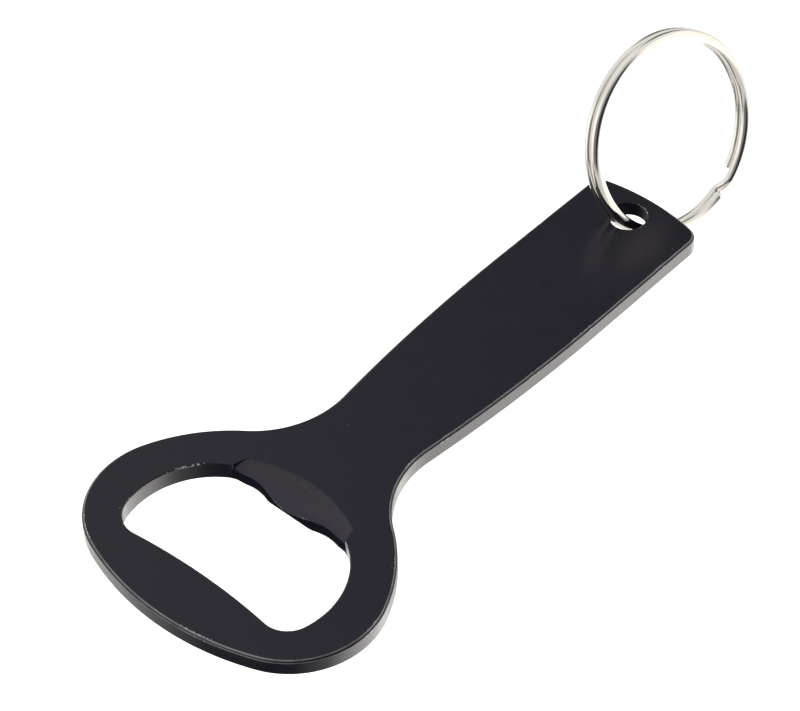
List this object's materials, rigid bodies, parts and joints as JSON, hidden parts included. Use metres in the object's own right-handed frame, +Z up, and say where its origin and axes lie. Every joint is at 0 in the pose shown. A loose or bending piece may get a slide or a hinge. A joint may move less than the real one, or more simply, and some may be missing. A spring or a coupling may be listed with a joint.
{
  "type": "keychain bottle opener",
  "caption": "Flat plate bottle opener with a rounded head, a crown cap mouth and pocket, a narrow handle, and a split ring through a hole in the handle's end.",
  "frame": {"origin": "middle of the lip seat, the pocket floor that bears on a crown cap, on the plate's centre line", "axes": "+X along the plate from the head to the handle's end, +Y across the plate, +Z up out of the face that carries the cap pocket"},
  "size_m": [0.1033, 0.0394, 0.0242],
  "materials": {
    "black_plate": "satin black coat, worn to bright metal in nicks along the edges",
    "ring_wire": "polished nickel"
  },
  "bodies": {
    "opener": {"opener_plate": "black_plate"},
    "key_ring": {"split_ring": "ring_wire"}
  },
  "joints": [
    {"name": "ring_swing", "type": "hinge", "parent": "opener", "child": "key_ring", "pos_m": [0.05817, 0.0006, -0.0005], "axis": [-0.0798, -0.9308, 0.3567], "range_deg": [-72, 0]}
  ]
}
